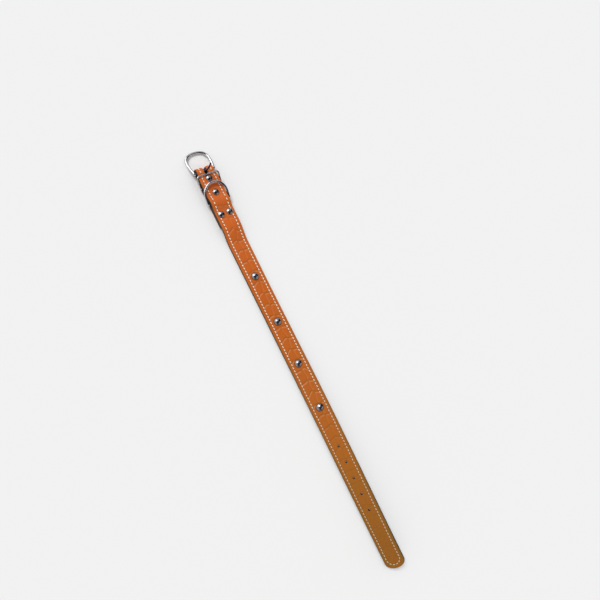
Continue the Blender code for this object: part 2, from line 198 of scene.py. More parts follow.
def spreadStations():
    cap = rivets["cap"] / 2
    a, b, c = (rivets["places"][key][0] for key in "abc")
    return (
        (foldOuter, 2 * strap["foldInner"]),
        (a - cap, strap["spreadA"]), (a + cap, strap["spreadA"]),
        (loops["keeper"]["bar"][0], strap["spreadKeeper"]),
        (b - cap, strap["spreadB"]), (b + cap, strap["spreadB"]),
        (loops["ring"]["bar"][0], strap["spreadRing"]),
        (c - cap, strap["gap"]),
        (strap["turnBack"] + strap["gap"], strap["gap"]),
        (strap["turnBack"] + strap["gap"] + strap["step"], -backTop),
    )


stations = spreadStations()


def frontHeight(along):
    for (start, low), (end, high) in zip(stations, stations[1:]):
        if along <= end:
            return backTop + low + (high - low) * ease((along - start) / (end - start))
    return 0.0


def halfAt(along):
    neck = strap["neckWidth"] / 2
    width = neck + (halfWidth - neck) * ease((along - strap["neckLength"]) / strap["neckTaper"])
    past = along - (strap["length"] - strap["tip"])
    if past > 0:
        width *= math.sqrt(max(1 - (past / strap["tip"]) ** 2, 0))
    return width


def rollAt(along):
    start = strap["length"] - strap["rollLength"]
    return strap["roll"] * ease((along - start) / strap["rollLength"])


# distance along the strap, inner face's height and heading, from a distance on the face
def station(face):
    if face < foldStart:
        return foldOuter + foldStart - face, backTop, math.pi
    if face < foldOuter:
        heading = (foldOuter - face) / foldOuter
        inner = strap["foldInner"]
        return foldOuter - inner * math.sin(heading), barHeight + inner * math.cos(heading), heading
    nudge = 0.0004
    rise = frontHeight(face + nudge) - frontHeight(face - nudge)
    return face, frontHeight(face), math.atan2(rise, 2 * nudge)


# points of the strap at a face distance: across and out may be arrays
def onStrap(face, across, out):
    along, height, heading = station(face)
    turn = rollAt(along)
    side = across + halfWidth
    lift = height + out * math.cos(heading)
    x = along - out * math.sin(heading) - strap["middle"]
    y = -halfWidth + side * math.cos(turn) - lift * math.sin(turn)
    z = side * math.sin(turn) + lift * math.cos(turn)
    return np.stack([x + 0 * y, y, z], axis=-1)


def strapMatrix(along, across=0.0):
    where = Vector(onStrap(along, across, 0.0))
    return Matrix.Translation(where) @ Matrix.Rotation(rollAt(along), 4, "X")


# where something that turns on a bar lies, from the bar's place and the lean in degrees
def onBar(bar, lean):
    along, height = bar
    spot = Matrix.Translation((along - strap["middle"], 0, height))
    return spot @ Matrix.Rotation(math.radians(lean), 4, "Y")


def roundTurns(count):
    return np.linspace(0, 2 * math.pi, count + 1)[:-1]


def linked(name, content):
    made = bpy.data.objects.new(name, content)
    bpy.context.scene.collection.objects.link(made)
    return made


def newObject(name, mesh, materials, body="strap"):
    for material in materials:
        mesh.materials.append(material)
    made = linked(name, mesh)
    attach(made, body)
    return made


# faces of a tube of rings with a face at each end
def tubeFaces(count, wide, base=0):
    faces = []
    for i in range(count - 1):
        for k in range(wide):
            a, b = base + i * wide + k, base + i * wide + (k + 1) % wide
            faces.append((a, b, b + wide, a + wide))
    faces.append([base + k for k in range(wide)][::-1])
    faces.append([base + (count - 1) * wide + k for k in range(wide)])
    return faces


# faces of a tube that closes on itself
def hoopFaces(count, wide):
    faces = []
    for i in range(count):
        a, b = i * wide, (i + 1) % count * wide
        faces += [(a + k, a + (k + 1) % wide, b + (k + 1) % wide, b + k) for k in range(wide)]
    return faces


# a mesh whose faces all look outwards
def meshFrom(name, points, faces):
    mesh = bpy.data.meshes.new(name)
    mesh.from_pydata([tuple(point) for point in points], [], faces)
    build = bmesh.new()
    build.from_mesh(mesh)
    bmesh.ops.recalc_face_normals(build, faces=build.faces)
    build.to_mesh(mesh)
    build.free()
    return mesh


# a closed skin over rows of points, sharp where its faces turn by more than the angle
def skin(name, rows, angle=50):
    mesh = meshFrom(name, np.concatenate(rows).tolist(), tubeFaces(len(rows), len(rows[0])))
    mesh.shade_smooth()
    mesh.set_sharp_from_angle(angle=math.radians(angle))
    return mesh


# the seam: two lines along the edges, joined by a U inside the tip
seam = {
    "inset": 0.0042, "pitch": 0.00405, "tipEnd": 0.5302, "tipLength": 0.0082, "endMargin": 0.0045,
    "pathStep": 0.0005, "bendSteps": 60, "underSink": 0.00085, "slant": math.radians(5),
    "slantJitter": math.radians(2.5), "sideJitter": 0.00012, "seed": 5, "tipPath": 1.5, "tipNear": 1.1,
}


def seamHalf(face):
    along = station(face)[0]
    return halfAt(min(along, strap["length"] - strap["tip"])) - seam["inset"]


def seamPath(start):
    turnAt = seam["tipEnd"] - seam["tipLength"]
    side = [(face, seamHalf(face)) for face in np.arange(start, turnAt, seam["pathStep"])]
    bend = []
    for i in range(seam["bendSteps"] + 1):
        turn = math.pi * i / seam["bendSteps"]
        bend.append((turnAt + seam["tipLength"] * math.sin(turn), -seamHalf(turnAt) * math.cos(turn)))
    return np.array([(face, -half) for face, half in side] + bend + side[::-1])


tipPath = seamPath(seam["tipEnd"] - seam["tipPath"] * seam["tipLength"])


# how far points of one row lie from the seam's line
def fromSeam(face, across):
    if face < seam["tipEnd"] - seam["tipNear"] * seam["tipLength"]:
        return np.abs(np.abs(across) - seamHalf(face))
    return np.hypot(tipPath[:, :1] - face, tipPath[:, 1:] - across).min(axis=0)


# middles of the stitches as (face distance, across, direction in the face)
def seamStitches(start):
    path = seamPath(start)
    lengths = np.concatenate([[0], np.cumsum(np.linalg.norm(np.diff(path, axis=0), axis=1))])
    count = round(lengths[-1] / seam["pitch"])
    stitches = []
    for middle in (np.arange(count) + 0.5) * lengths[-1] / count:
        spots = (middle, middle + seam["pathStep"], middle - seam["pathStep"])
        here, ahead, behind = ([np.interp(spot, lengths, path[:, k]) for k in (0, 1)] for spot in spots)
        stitches.append((*here, math.atan2(ahead[1] - behind[1], ahead[0] - behind[0])))
    return stitches


topStitches = seamStitches(backEnd + seam["endMargin"])
underStitches = seamStitches(strap["turnBack"] + seam["endMargin"])
print("seam laid out:", len(topStitches), "stitches")

# scales embossed in the cover, in rows of two
# grooveDark: how much painted shade the grooves get
scales = {
    "length": 0.0150, "offset": 0.03, "jitter": 0.0013, "seed": 11, "spacing": (0.88, 1.12),
    "left": -0.0038, "right": 0.0056, "sideJitter": 0.0012, "stretch": 1.35,
    "arch": 0.0026, "archHalf": 0.008,
    "groove": 0.00052, "grooveDepth": 0.00030, "grooveDark": 0.6, "divide": 0.4, "margin": (0.0010, 0.0002),
    "puff": 0.00008, "puffReach": 0.0016, "lip": 0.00009, "lipAt": 1.9, "lean": 0.8,
    "fadeFrom": 0.33, "fadeTo": 0.45, "fade": 0.6, "foldFrom": 0.05, "foldTo": 0.10, "foldFade": 0.6,
    "lipFrom": 0.29, "lipTo": 0.38, "lipFade": 0.9,
}
# how the grooves wander: size, waves a metre across and along, start
wander = {"along": (0.0006, 620, 90), "across": (0.0007, 260, 1.3)}
# what is pressed into the face round the seam, needle, punched holes, caps and slot, and the painted shade
# (dark) that each gets
pressed = {
    "seam": {"depth": 0.00016, "reach": 0.0008, "dark": 0.45, "darkReach": 0.0007},
    "needle": {"depth": 0.0003, "along": 0.00085, "across": 0.0006, "dark": 1.1, "near": 0.003},
    "hole": {"depth": 0.00028, "reach": 0.0006, "dark": 0.9, "darkReach": 0.00035,
             "flat": (0, 0.0012), "near": 0.006},
    "cap": {"depth": 0.00012, "reach": 0.0008, "dark": 0.8, "darkReach": 0.00045,
            "flat": (0.0002, 0.0016), "near": 0.009},
    "slot": {"depth": 0.00085, "reach": 0.0012, "dark": 0.85, "half": 0.002, "halfEnd": (0.0085, 0.0125),
             "middle": -0.001, "end": (0.0115, 0.0155), "flat": 0.004},
}


def bell(distance, reach):
    return np.exp(-(distance / reach) ** 2)


def scaleSeeds():
    draw = random.Random(scales["seed"])
    seeds = []
    face = backEnd - scales["length"]
    while face < strap["length"] + scales["length"]:
        for middle in (scales["left"], scales["right"]):
            shift = draw.uniform(-1, 1) * scales["jitter"]
            aside = draw.uniform(-1, 1) * scales["sideJitter"]
            step = scales["offset"] * scales["length"] if middle > 0 else 0
            seeds.append((face + shift + step, middle + aside))
        face += scales["length"] * draw.uniform(*scales["spacing"])
    return seeds


# distance to the line between the two nearest scales, if it runs lengthwise and if it is a scale's front
def scaleLines(face, across):
    size, waves, drift = wander["along"]
    arched = face - scales["arch"] * (across / scales["archHalf"]) ** 2
    u = arched + size * np.sin(across * waves + face * drift)
    size, waves, start = wander["across"]
    v = across + size * np.sin(face * waves + start)
    near, second = np.full(u.shape, 1.0), np.full(u.shape, 1.0)
    own, other, side, otherSide = (np.zeros(u.shape) for _ in range(4))
    for seedFace, seedAcross in scaleSeeds():
        reach = np.hypot((u - seedFace) / scales["stretch"], v - seedAcross)
        order = seedFace + scales["lean"] * seedAcross
        closer, runnerUp = reach < near, (reach >= near) & (reach < second)
        second = np.where(closer, near, np.where(runnerUp, reach, second))
        other = np.where(closer, own, np.where(runnerUp, order, other))
        otherSide = np.where(closer, side, np.where(runnerUp, seedAcross, otherSide))
        near, own = np.where(closer, reach, near), np.where(closer, order, own)
        side = np.where(closer, seedAcross, side)
    lengthwise = np.abs(side - otherSide) > (scales["right"] - scales["left"]) / 2
    return (second - near) / 2, lengthwise, own > other


# a ring round each round opening or cap: the face goes flat and dips, with painted shade towards its edge
def pressRings(faces, across, relief, crease, places, press):
    for place, side, size in places:
        rows = slice(*np.searchsorted(faces, (place - press["near"], place + press["near"])))
        off = np.hypot(faces[rows, None] - place, across[rows] - side) - size / 2
        flat = softStep(off, *press["flat"])
        relief[rows] = relief[rows] * flat - press["depth"] * bell(off, press["reach"])
        crease[rows] = np.maximum(crease[rows], press["dark"] * bell(off, press["darkReach"]))


# height added to the cover's face, the painted shade in its creases, and the painted highlight on its lips
def coverRelief(faces, across):
    column = faces[:, None]
    gap, lengthwise, front = scaleLines(column, across)
    fade = 1 - scales["fade"] * softStep(column, scales["fadeFrom"], scales["fadeTo"])
    fade *= 1 - scales["foldFade"] * (1 - softStep(column, scales["foldFrom"], scales["foldTo"]))
    halves = np.array([seamHalf(face) for face in faces])[:, None]
    first, last = scales["margin"]
    inside = (1 - softStep(np.abs(across), halves - first, halves - last)) * fade
    inside *= np.where(lengthwise, scales["divide"], 1.0)
    groove = bell(gap, scales["groove"]) * inside
    # lip: the raised front edge of each scale, which also carries a painted highlight
    lip = bell(gap - scales["lipAt"] * scales["groove"], scales["groove"]) * inside * front
    puff = scales["puff"] * (1 - np.exp(-gap / scales["puffReach"])) * inside
    relief = -scales["grooveDepth"] * groove + puff + scales["lip"] * lip
    press, offSeam = pressed["seam"], np.abs(across) - halves  # the thread pulls the cover down
    relief -= press["depth"] * bell(offSeam, press["reach"])
    # painted shade in the scales' grooves and along the seam line
    crease = groove * scales["grooveDark"] + press["dark"] * bell(offSeam, press["darkReach"])
    # painted shade in the needle holes between the stitches
    press = pressed["needle"]
    for face, side in needlePlaces():
        rows = slice(*np.searchsorted(faces, (face - press["near"], face + press["near"])))
        pit = bell(column[rows] - face, press["along"]) * bell(across[rows] - side, press["across"])
        relief[rows] -= press["depth"] * pit
        crease[rows] = np.maximum(crease[rows], press["dark"] * pit)
    punched = [(place, 0.0, holes["size"]) for place in holePlaces]
    pressRings(faces, across, relief, crease, punched, pressed["hole"])
    pressRings(faces, across, relief, crease, capPlaces(), pressed["cap"])
    press = pressed["slot"]  # the leather sinks towards the prong's slot
    slotHalf = press["half"] * (1 - softStep(np.abs(column), *press["halfEnd"]))
    near = 1 - softStep(np.abs(column - press["middle"]), *press["end"])
    dip = bell(np.maximum(np.abs(across) - slotHalf, 0), press["reach"]) * near
    relief = relief * (1 - near * bell(across, press["flat"])) - press["depth"] * dip
    # painted shade in the dip towards the slot
    crease = np.maximum(crease, press["dark"] * dip ** 1.5)
    # towards the free end the painted highlight on the lips fades, and only the lines of painted shade are
    # left
    lip *= (1 - crease) * (1 - scales["lipFade"] * softStep(column, scales["lipFrom"], scales["lipTo"]))
    return relief, crease, lip


# needle holes lie half way between neighbouring stitches
def needlePlaces():
    pairs = zip(topStitches, topStitches[1:])
    return [((a[0] + b[0]) / 2, (a[1] + b[1]) / 2) for a, b in pairs]


def capPlaces():
    caps = [(along, across, rivets["cap"]) for along, across in rivets["places"].values()]
    return caps + [(along, 0.0, studs["cap"]) for along in studs["places"]]


# rows are wider apart on the turned-back end, and the tip's last row stops short of a point
rowing = {"backStretch": 1.3, "tipTurn": math.radians(88.5)}


# face distances of the rows of a skin, from the turned-back end round the fold to the tip
def faceRows(sizes):
    step = sizes["rowStep"]
    back = np.arange(backEnd, foldStart, step * rowing["backStretch"])
    fold = np.linspace(foldStart, foldOuter, sizes["foldSteps"])
    tipStart = strap["length"] - strap["tip"]
    front = np.linspace(foldOuter, tipStart, round((tipStart - foldOuter) / step))
    turns = np.linspace(0, rowing["tipTurn"], sizes["tipSteps"])
    tip = tipStart + strap["tip"] * np.sin(turns)
    return np.concatenate([back, fold, front[1:], tip[1:]])


# painted margin shade: how strongly the margin is darkened as painted shade where the strap's edge rolls away
# from the light, from a share of the way between seam and edge to another
cover = {
    "rowStep": 0.00066, "foldSteps": 34, "tipSteps": 22, "columns": 52, "under": 8,
    "round": 0.0007, "bend": (22, 45, 68, 90), "bendPaint": (0.42, 0.6, 0.8, 1.0),
    "paintedMarginShade": 0.4, "paintedMarginShadeFrom": 0.25, "paintedMarginShadeTo": 0.9,
}


def makeCover(leather, core):
    faces = faceRows(cover)
    halves = np.array([halfAt(station(face)[0]) for face in faces])
    rounds = np.minimum(cover["round"], halves / 2)
    across = (halves - rounds)[:, None] * np.linspace(1, -1, cover["columns"])
    relief, crease, lip = coverRelief(faces, across)
    seams = np.array([seamHalf(face) for face in faces])
    toEdge = (np.abs(across) - seams[:, None]) / seam["inset"]
    # painted shade on the margins between seam and edge, where the edge rolls away from the light
    paintedMarginShade = cover["paintedMarginShade"] * softStep(toEdge, cover["paintedMarginShadeFrom"], cover["paintedMarginShadeTo"])
    low, high = strap["lining"] + strap["gap"], ply
    corner = [(math.sin(t), 1 - math.cos(t)) for t in np.radians(cover["bend"])]
    rows, paintedShades, lips, paintAndShade = [], [], [], []
    for n, face in enumerate(faces):
        half, turn = halves[n], rounds[n]
        columns = [(across[n], high + relief[n])]
        for side, drop in ((-1, relief[n, -1]), (1, relief[n, 0])):
            steps = [(side * (half - turn + turn * s), high + drop * (1 - s) - turn * c) for s, c in corner]
            steps += [(side * half, low + (high - turn - low) * t) for t in (0.5, 0)]
            columns.append(tuple(np.array(steps[::-side]).T))
            if side == -1:
                under = np.linspace(-1, 1, cover["under"])[1:-1] * half
                columns.append((under, np.full(len(under), low)))
        acrossRow, outRow = (np.concatenate([column[k] for column in columns]) for k in (0, 1))
        rows.append(onStrap(face, acrossRow, outRow))
        rest = len(acrossRow) - cover["columns"]
        paintedShades.append(np.concatenate([crease[n], np.zeros(rest)]))
        lips.append(np.concatenate([lip[n], np.zeros(rest)]))
        edges = np.full(rest, 1.0)
        bend = cover["bendPaint"]
        edges[:len(bend)], edges[-len(bend):] = bend, bend[::-1]
        paintAndShade.append(np.concatenate([paintedMarginShade[n], edges]))
    mesh = skin("coverSkin", rows)
    for name, values in (("crease", paintedShades), ("lip", lips), ("edgePaint", paintAndShade)):
        mesh.attributes.new(name, "FLOAT", "POINT").data.foreach_set("value", np.concatenate(values))
    whole = newObject("orange_cover", mesh, [leather, core])
    cutOpenings(whole, core)
    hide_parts("strap_cover")


# the prong's slot over the fold, half as wide at its far end, and how far cutters reach past the strap
slot = {"half": 0.002, "taperFrom": 0.009, "reach": 0.0118, "endHalf": 0.0008, "past": 0.0009}
punch = {"sides": 28, "past": 0.0006}


def openingCutter(core):
    points, faces = [], []

    def addPrism(lower, upper):
        base, count = len(points), len(lower)
        points.extend(lower + upper)
        faces.append([base + k for k in range(count)][::-1])
        faces.append([base + count + k for k in range(count)])
        for k in range(count):
            after = (k + 1) % count
            faces.append([base + k, base + after, base + count + after, base + count + k])

    radius = holes["size"] / 2
    turns = roundTurns(punch["sides"])
    for place in holePlaces:
        matrix = strapMatrix(place)
        addPrism(*([matrix @ Vector((radius * math.cos(t), radius * math.sin(t), z)) for t in turns]
                   for z in (-punch["past"], ply + punch["past"])))
    half, end = slot["half"], slot["endHalf"]
    side = [(-slot["past"], half), (slot["taperFrom"], half), (slot["reach"], end)]
    outline = [(x, -y) for x, y in side] + side[::-1]
    addPrism(*([Vector((x - strap["middle"], y, z)) for x, y in outline]
               for z in (backLift - slot["past"], barHeight + foldOuter + slot["past"])))
    mesh = meshFrom("openings", points, faces)
    mesh.materials.append(core)
    return linked("openings", mesh)


# join or cut a piece with a helper object, which is used up
def combine(piece, helper, operation):
    change = piece.modifiers.new("combine", "BOOLEAN")
    change.operation = operation
    change.solver = "EXACT"
    change.object = helper
    change.material_mode = "TRANSFER"
    graph = bpy.context.evaluated_depsgraph_get()
    mesh = bpy.data.meshes.new_from_object(piece.evaluated_get(graph))
    piece.modifiers.clear()
    piece.data = mesh
    bpy.data.objects.remove(helper)


def cutOpenings(piece, core):
    combine(piece, openingCutter(core), "DIFFERENCE")


# grain: height and waves a metre of the lining's faint unevenness
lining = {
    "rowStep": 0.0010, "foldSteps": 18, "tipSteps": 16, "columns": 46, "round": 0.0005, "bend": (30, 60, 90),
    "channel": 0.00055, "channelReach": 0.0009, "grain": (0.00004, 1900, 2100, 1700, 700), "closeBy": 0.00002,
    "topShares": (0.6, 0.2, -0.2, -0.6),
}


def makeLining(felt, core):
    share = np.linspace(-1, 1, lining["columns"])
    top = ply - strap["cover"] - lining["closeBy"]  # closes on the cover, so no light shows between them
    height, waveA, waveB, waveC, waveD = lining["grain"]
    bend = np.radians(lining["bend"])
    rows = []
    for face in faceRows(lining):
        half = halfAt(station(face)[0])
        turn = min(lining["round"], half / 2)
        across = (half - turn) * share
        channel = lining["channel"] * np.exp(-(fromSeam(face, across) / lining["channelReach"]) ** 4)
        soft = height * np.sin(face * waveA + across * waveB) * np.sin(across * waveC - face * waveD)
        bottom = channel + soft if face > strap["turnBack"] else channel * 0
        right = [(half - turn + turn * math.sin(t), turn - turn * math.cos(t)) for t in bend]
        right += [(half, 0.5 * top), (half, top)]
        rest = right + [(half * s, top) for s in lining["topShares"]] + [(-x, z) for x, z in right[::-1]]
        restAcross, restOut = zip(*rest)
        rows.append(onStrap(face, np.concatenate([across, restAcross]), np.concatenate([bottom, restOut])))
    whole = newObject("black_lining", skin("liningSkin", rows), [felt, core])
    cutOpenings(whole, core)
    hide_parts("strap_lining")


# ends: how thin a stitch is at its ends; dive: how deep they go; ridge and twist: the two plies
stitch = {
    "length": 0.0030, "thread": 0.00060, "proud": 0.00030, "dive": 0.0005, "ends": 0.62, "flat": 0.75,
    "ridge": 0.13, "twist": 5.5, "steps": 10, "sides": 8, "capMargin": 0.0002, "feel": 0.0003,
}


# one stitch: two plies twisted together, diving into the leather at both ends
def stitchRings(wobble):
    rings = []
    for i in range(stitch["steps"] + 1):
        t = i / stitch["steps"]
        run = (t - 0.5) * stitch["length"]
        arch = math.sin(math.pi * t)
        lift = stitch["proud"] * arch - stitch["dive"] * (1 - arch) ** 2
        thick = stitch["thread"] * (stitch["ends"] + (1 - stitch["ends"]) * arch ** 0.5)
        ring = []
        for k in range(stitch["sides"]):
            angle = 2 * math.pi * k / stitch["sides"]
            radius = thick * (1 + stitch["ridge"] * math.cos(2 * (angle - stitch["twist"] * t - wobble)))
            ring.append((run, radius * math.cos(angle), lift + stitch["flat"] * radius * math.sin(angle)))
        rings.append(ring)
    return rings


# the stitches of one side; facing is 1 on the face and -1 underneath, caps hide the ones below them
def makeStitches(name, stitches, out, facing, thread, caps=()):
    draw = random.Random(seam["seed"])
    feel = stitch["feel"]
    points, faces = [], []
    for face, across, direction in stitches:
        rings = stitchRings(draw.uniform(-1, 1))
        turn = direction + seam["slant"] + draw.uniform(-1, 1) * seam["slantJitter"]
        shift = draw.uniform(-1, 1) * seam["sideJitter"]
        if any(math.hypot(face - a, across - b) < size / 2 - stitch["capMargin"] for a, b, size in caps):
            continue
        origin = onStrap(face, across, out)
        forward = onStrap(face + feel, across, out) - onStrap(face - feel, across, out)
        aside = onStrap(face, across + feel, out) - onStrap(face, across - feel, out)
        forward /= np.linalg.norm(forward)
        aside /= np.linalg.norm(aside)
        up = np.cross(forward, aside) * facing
        base = len(points)
        for run, side, lift in (place for ring in rings for place in ring):
            x = run * math.cos(turn) - side * math.sin(turn)
            y = run * math.sin(turn) + side * math.cos(turn) + shift
            points.append(origin + forward * x + aside * y + up * lift)
        faces += tubeFaces(len(rings), stitch["sides"], base)
    mesh = meshFrom(name, points, faces)
    mesh.shade_smooth()
    newObject(name, mesh, [thread])


def arc(centreX, centreY, radius, start, end, steps):
    turns = [math.radians(start + (end - start) * i / steps) for i in range(steps + 1)]
    return [(centreX + radius * math.cos(t), centreY + radius * math.sin(t)) for t in turns]


# how far the wires stand off the strap, and how finely they are bent
wires = {
    "neckRoom": 0.00045, "frameRoom": 0.0008, "sideRoom": 0.0005,
    "barShares": (0.2, 0.5, 0.8), "farShares": (0.6, 0.3, 0.1), "sides": 32, "cornerSteps": 8,
    "flareSteps": 14, "endSteps": 30, "endPower": 2 / 2.5,
    "keeperSteps": 14, "ringSteps": 46, "ringEnd": 178,
}


def frameOutline(wire, reach, corner, **rest):
    root = strap["neckWidth"] / 2 + wires["neckRoom"] + wire / 2
    widest = halfWidth + wires["frameRoom"] + wire / 2
    bow, power = reach / 2, wires["endPower"]
    half = [(0, root * t) for t in wires["barShares"]]
    half += arc(-corner, root - corner, corner, 0, 90, wires["cornerSteps"])
    for i in range(wires["flareSteps"]):
        t = (i + 1) / wires["flareSteps"]
        half.append((-corner - (bow - corner) * t, root + (widest - root) * math.sin(math.pi / 2 * t)))
    for i in range(1, wires["endSteps"]):
        turn = math.pi / 2 * i / wires["endSteps"]
        half.append((-bow - (reach - bow) * math.sin(turn) ** power, widest * math.cos(turn) ** power))
    return half


def keeperOutline(wire, reach, corner, **rest):
    side = halfWidth + wires["sideRoom"] + wire / 2
    half = [(0, side * t) for t in wires["barShares"]]
    half += arc(-wire, side - wire, wire, 0, 90, wires["cornerSteps"])
    half += arc(corner - reach, side - corner, corner, 90, 180, wires["keeperSteps"])
    return half + [(-reach, side * t) for t in wires["farShares"]]


def ringOutline(wire, leg, corner, **rest):
    side = halfWidth + wires["sideRoom"] + wire / 2
    half = [(0, side * t) for t in wires["barShares"]]
    half += arc(-corner, side - corner, corner, 0, 90, wires["cornerSteps"])
    return half + arc(-leg, 0, side, 90, wires["ringEnd"], wires["ringSteps"])


# wire bent to an outline, hung on its bar at the lean that it rests at
def makeLoop(name, node, body, sizes, outline, material):
    half = outline(**sizes)
    middles = half + [(x, -y) for x, y in half[::-1]]
    place = onBar(sizes["bar"], sizes["lean"])
    radius, sides, up = sizes["wire"] / 2, wires["sides"], Vector((0, 0, 1))
    points = []
    for i, (x, y) in enumerate(middles):
        before, after = middles[i - 1], middles[(i + 1) % len(middles)]
        along = Vector((after[0] - before[0], after[1] - before[1], 0)).normalized()
        aside = Vector((along.y, -along.x, 0))
        for k in range(sides):
            turn = 2 * math.pi * k / sides
            offset = math.cos(turn) * aside + math.sin(turn) * up
            points.append(place @ (Vector((x, y, 0)) + radius * offset))
    mesh = meshFrom(name, points, hoopFaces(len(middles), sides))
    mesh.shade_smooth()
    made = newObject(name, mesh, [material], body)
    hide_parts(node)


# a turned piece from (radius, height) pairs that run from its crown to its underside
def turned(name, profile, matrix, material, node, sides=48):
    rows, points, faces = [], [], []
    for radius, height in profile:
        turns = roundTurns(sides) if radius else [0]
        rows.append(range(len(points), len(points) + len(turns)))
        points += [matrix @ Vector((radius * math.cos(t), radius * math.sin(t), height)) for t in turns]
    for upper, lower in zip(rows, rows[1:]):
        for k in range(sides):
            after = (k + 1) % sides
            corners = (upper[k % len(upper)], lower[k % len(lower)],
                       lower[after % len(lower)], upper[after % len(upper)])
            faces.append(list(dict.fromkeys(corners)))  # a triangle where a row is a single point
    mesh = meshFrom(name, points, faces)
    mesh.shade_smooth()
    mesh.set_sharp_from_angle(angle=math.radians(45))
    made = newObject(name, mesh, [material])
    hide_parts(node)


# a cap's straight rim, its softened edges, and how far it presses into the leather
rim = {"height": 0.0004, "soft": 0.00008, "under": 0.00005, "press": 0.0002, "bevel": 0.0001, "steps": 16}


# a domed cap from its crown to its shank
def capProfile(sizes):
    radius, height = sizes["cap"] / 2, sizes["dome"]
    rise = height - rim["height"]
    ball = (radius ** 2 + rise ** 2) / (2 * rise)
    turns = [math.asin(radius / ball) * i / rim["steps"] for i in range(rim["steps"])]
    dome = [(ball * math.sin(t), height - ball * (1 - math.cos(t))) for t in turns]
    dome += [(radius - rim["soft"], rim["height"] + rim["soft"]), (radius, rim["height"] - rim["under"])]
    seat = ply - rim["press"]
    skirt = [(radius, seat + rim["bevel"]), (radius - rim["bevel"], seat), (sizes["shank"] / 2, seat)]
    return [(r, ply + strap["gap"] + z) for r, z in dome] + skirt


def makeRivets(nickel):
    for key, (along, across) in rivets["places"].items():
        footTop = backLift - strap["gap"] - frontHeight(along)
        profile = capProfile(rivets) + [(r, footTop - depth) for r, depth in rivets["foot"]]
        turned(f"rivet_cap_{key}", profile, strapMatrix(along, across), nickel, f"rivet_{key}")


def makeStuds(nickel):
    for n, along in enumerate(studs["places"], 1):
        profile = capProfile(studs) + [(r, strap["lining"] - depth) for r, depth in studs["foot"]]
        turned(f"dome_stud_{n}", profile, strapMatrix(along), nickel, f"stud_{n}")


prong = {
    "wire": 0.0025, "tipWire": 0.0018, "length": 0.0285, "bow": 0.0012, "lean": 4.0, "steps": 40, "sides": 24,
    "round": 0.0007, "roundSteps": 6, "roundTurn": math.radians(86),
    "eyeInner": 0.002, "eyeWall": 0.0014, "eyeWidth": 0.003,
    "eyeBevel": 0.00035, "eyeSoft": 0.3, "eyeSteps": 48,
}


def prongShank(place):
    start = prong["eyeInner"] + prong["eyeWall"] / 2
    steps, last = prong["steps"], prong["steps"] + prong["roundSteps"]
    rows = []
    for i in range(last + 1):
        t = min(i / steps, 1.0)
        run = start + (prong["length"] - prong["round"] - start) * t
        radius = (prong["wire"] + (prong["tipWire"] - prong["wire"]) * t) / 2
        if i > steps:  # a rounded end
            turn = prong["roundTurn"] * (i - steps) / prong["roundSteps"]
            run += prong["round"] * math.sin(turn)
            radius *= math.cos(turn)
        bow = prong["bow"] * math.sin(math.pi * t)
        rows.append(np.array([place @ Vector((bow + radius * math.cos(a), radius * math.sin(a), run))
                              for a in roundTurns(prong["sides"])]))
    return skin("prongShank", rows)


def prongEye(place):
    inner, outer = prong["eyeInner"], prong["eyeInner"] + prong["eyeWall"]
    half, bevel = prong["eyeWidth"] / 2, prong["eyeBevel"]
    soft = prong["eyeSoft"] * bevel
    edge = [(inner + bevel, half), (outer - bevel, half), (outer - soft, half - soft), (outer, half - bevel)]
    section = edge + [(r, -y) for r, y in edge[::-1]] + [(inner, bevel - half), (inner, half - bevel)]
    points = [place @ Vector((r * math.cos(a), y, r * math.sin(a)))
              for a in roundTurns(prong["eyeSteps"]) for r, y in section]
    return meshFrom("prongEye", points, hoopFaces(prong["eyeSteps"], len(section)))


def makeProng(blued):
    place = onBar(loops["frame"]["bar"], prong["lean"])
    made = newObject("blued_prong", prongShank(place), [blued], "prong")
    eye = prongEye(place)
    eye.materials.append(blued)
    combine(made, linked("prongEye", eye), "UNION")
    made.data.shade_smooth()
    made.data.set_sharp_from_angle(angle=math.radians(40))
    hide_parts("buckle_prong")


# tones from the fold to the tip, darker towards the tip as painted shade for light falling off along the
# strap, and the size of each mottling in metres
leatherLook = {
    "stops": ((0.0, (208, 98, 34)), (0.28, (194, 92, 18)), (0.58, (178, 93, 17)),
              (0.71, (164, 93, 17)), (0.80, (150, 91, 17)), (0.95, (138, 87, 16))),
    "cloud": 0.022, "speck": 0.0011, "grain": 0.00075, "waver": 0.006, "bump": 0.00026,
    "cloudTone": (160, 84, 28), "speckTone": (216, 120, 52), "lipPaintedHighlightTone": (228, 146, 96),
    "paintedShadeTone": (108, 76, 28), "paintedMarginShadeTone": (116, 84, 26), "edgeTones": ((86, 58, 22), (36, 31, 24)),
}


